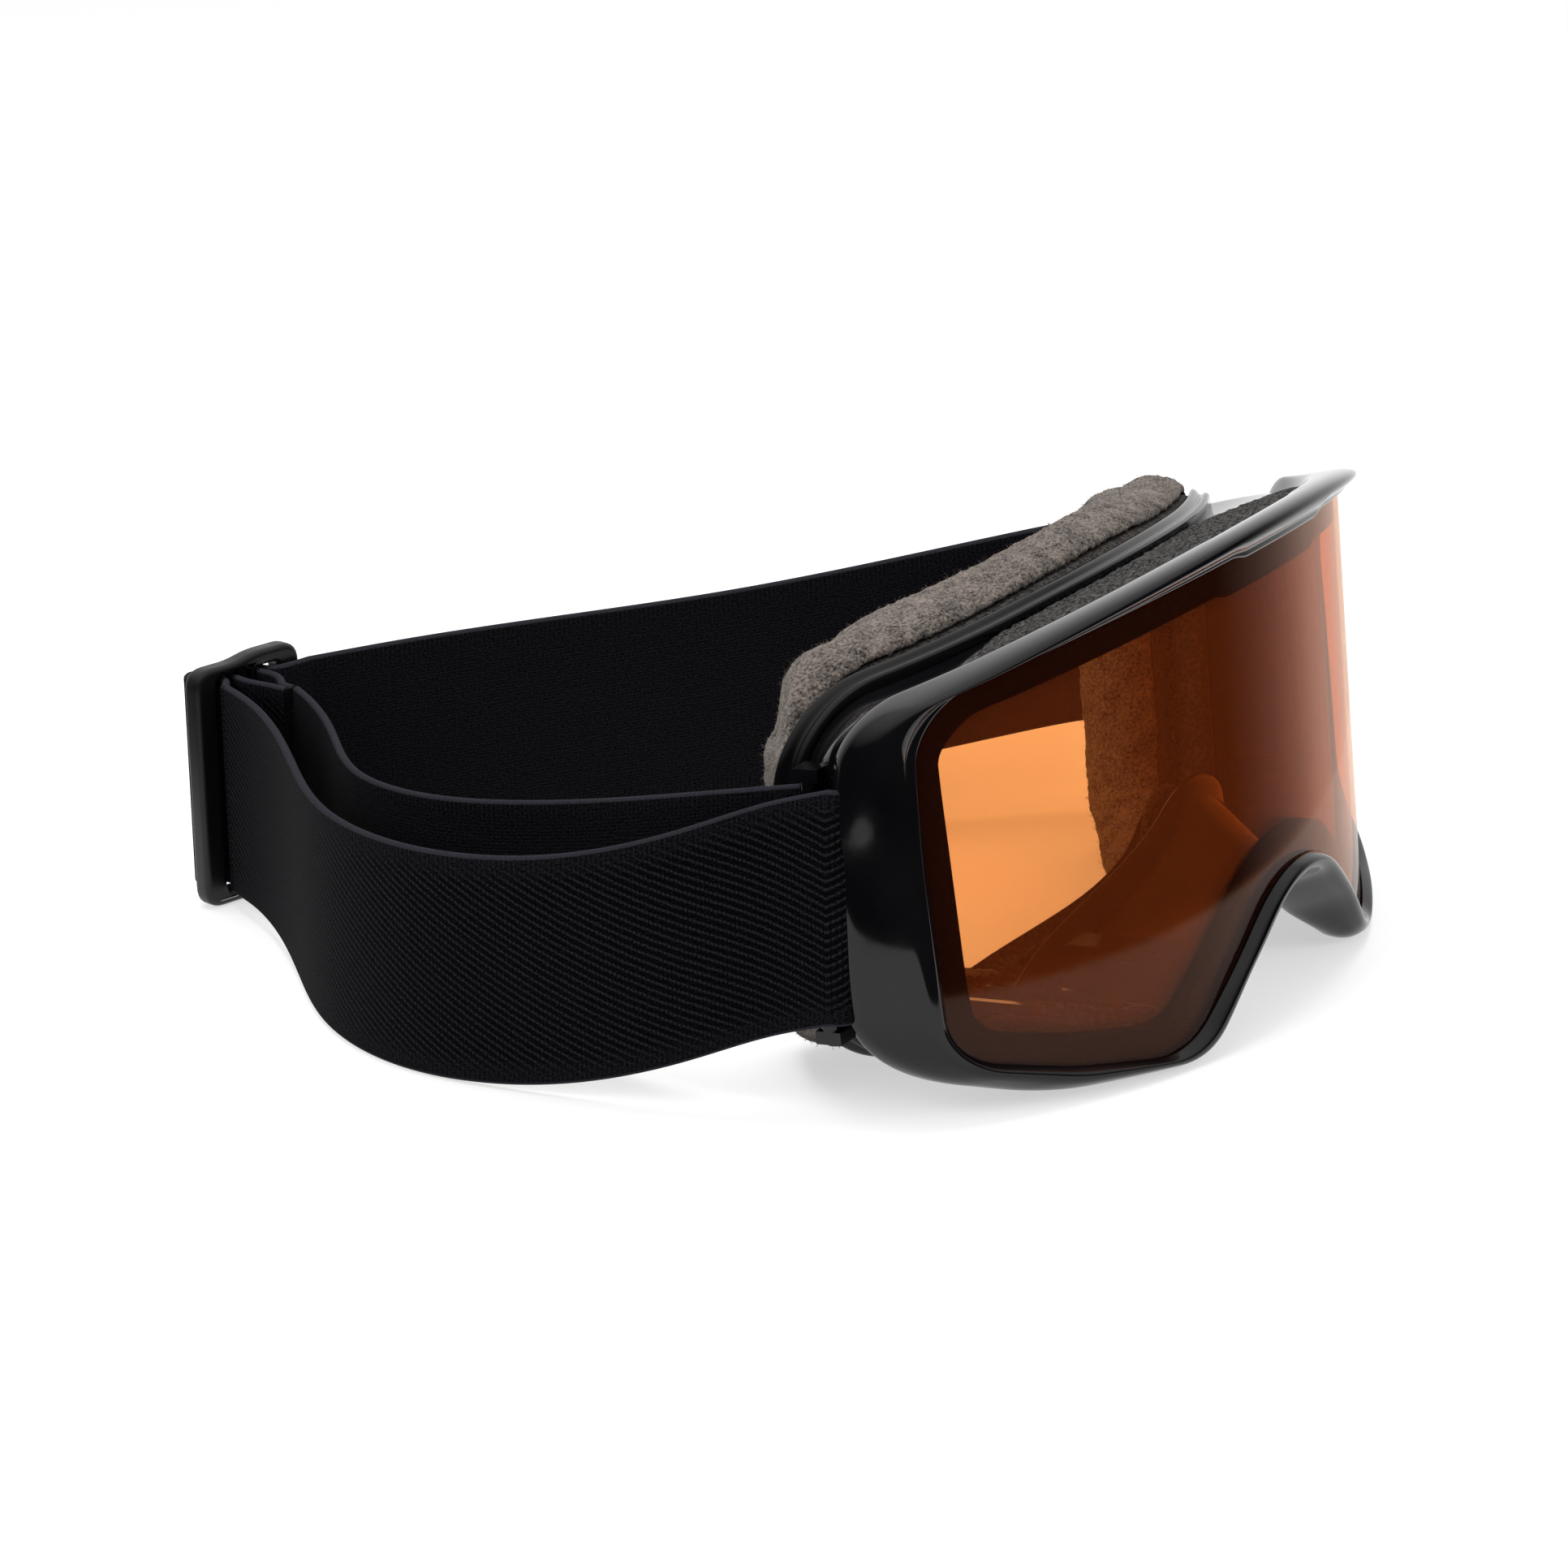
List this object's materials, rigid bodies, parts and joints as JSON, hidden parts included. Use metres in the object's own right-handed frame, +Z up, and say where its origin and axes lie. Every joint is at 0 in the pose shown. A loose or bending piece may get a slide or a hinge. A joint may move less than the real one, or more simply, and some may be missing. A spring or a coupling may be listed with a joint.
{
  "type": "ski goggles",
  "caption": "Ski goggles with a cylindrical orange double lens, glossy black rim with visor lip, fleece-faced foam, and an elastic strap with a three-bar slider.",
  "frame": {"origin": "on the floor under the middle of the box round the goggles and their strap", "axes": "+X across the face, towards the side whose strap is a single layer, +Y from the lens to the back of the head, +Z up"},
  "size_m": [0.1858, 0.2028, 0.0881],
  "materials": {
    "orange_lens": "polished, orange tinted polycarbonate",
    "clear_lens": "polished, clear acetate",
    "seal_foam": "black closed-cell foam",
    "gloss_black": "high gloss black",
    "vent_foam": "open-cell foam, dark grey, speckled",
    "face_foam": "open-cell foam, charcoal",
    "fleece": "short fuzzy grey-brown fleece",
    "webbing": "woven elastic, fine diagonal twill",
    "satin_black": "satin moulded black"
  },
  "bodies": {
    "goggle": {"outer_lens": "orange_lens", "lens_spacer_foam": "seal_foam", "inner_lens": "clear_lens", "front_rim": "gloss_black", "frame_chassis": "gloss_black", "vent_ribs_top": "gloss_black", "vent_ribs_bottom": "gloss_black", "face_flange": "gloss_black", "vent_foam_top": "vent_foam", "vent_foam_bottom_left": "vent_foam", "vent_foam_bottom_right": "vent_foam", "face_foam_base": "face_foam", "face_foam_soft": "face_foam", "fleece_liner": "fleece", "strap_bar_left": "gloss_black", "strap_bar_right": "gloss_black", "strap_bar_loop_left": "webbing", "strap_bar_loop_right": "webbing", "strap_near_outer_front": "webbing", "strap_near_inner_front": "webbing", "strap_far_front": "webbing"},
    "strap_rear": {"strap_near_outer_middle": "webbing", "strap_near_inner_middle": "webbing", "strap_far_middle": "webbing", "strap_near_outer_rear": "webbing", "strap_near_inner_rear": "webbing", "strap_far_rear": "webbing"},
    "slider": {"strap_sewn_loop": "webbing", "strap_slider_wrap": "webbing", "slider_buckle": "satin_black"}
  },
  "joints": [
    {"name": "strap_stretch", "type": "slide", "parent": "goggle", "child": "strap_rear", "axis": [0, 1, 0], "range_m": [0, 0.06], "stiffness_N_per_m": 60, "deforming": ["strap_near_outer_front", "strap_near_inner_front", "strap_far_front"]},
    {"name": "slider_travel", "type": "slide", "parent": "strap_rear", "child": "slider", "axis": [0.6601, -0.7511, 0], "range_m": [-0.008, 0.022], "deforming": ["strap_near_outer_rear", "strap_near_inner_rear", "strap_far_rear"]}
  ]
}
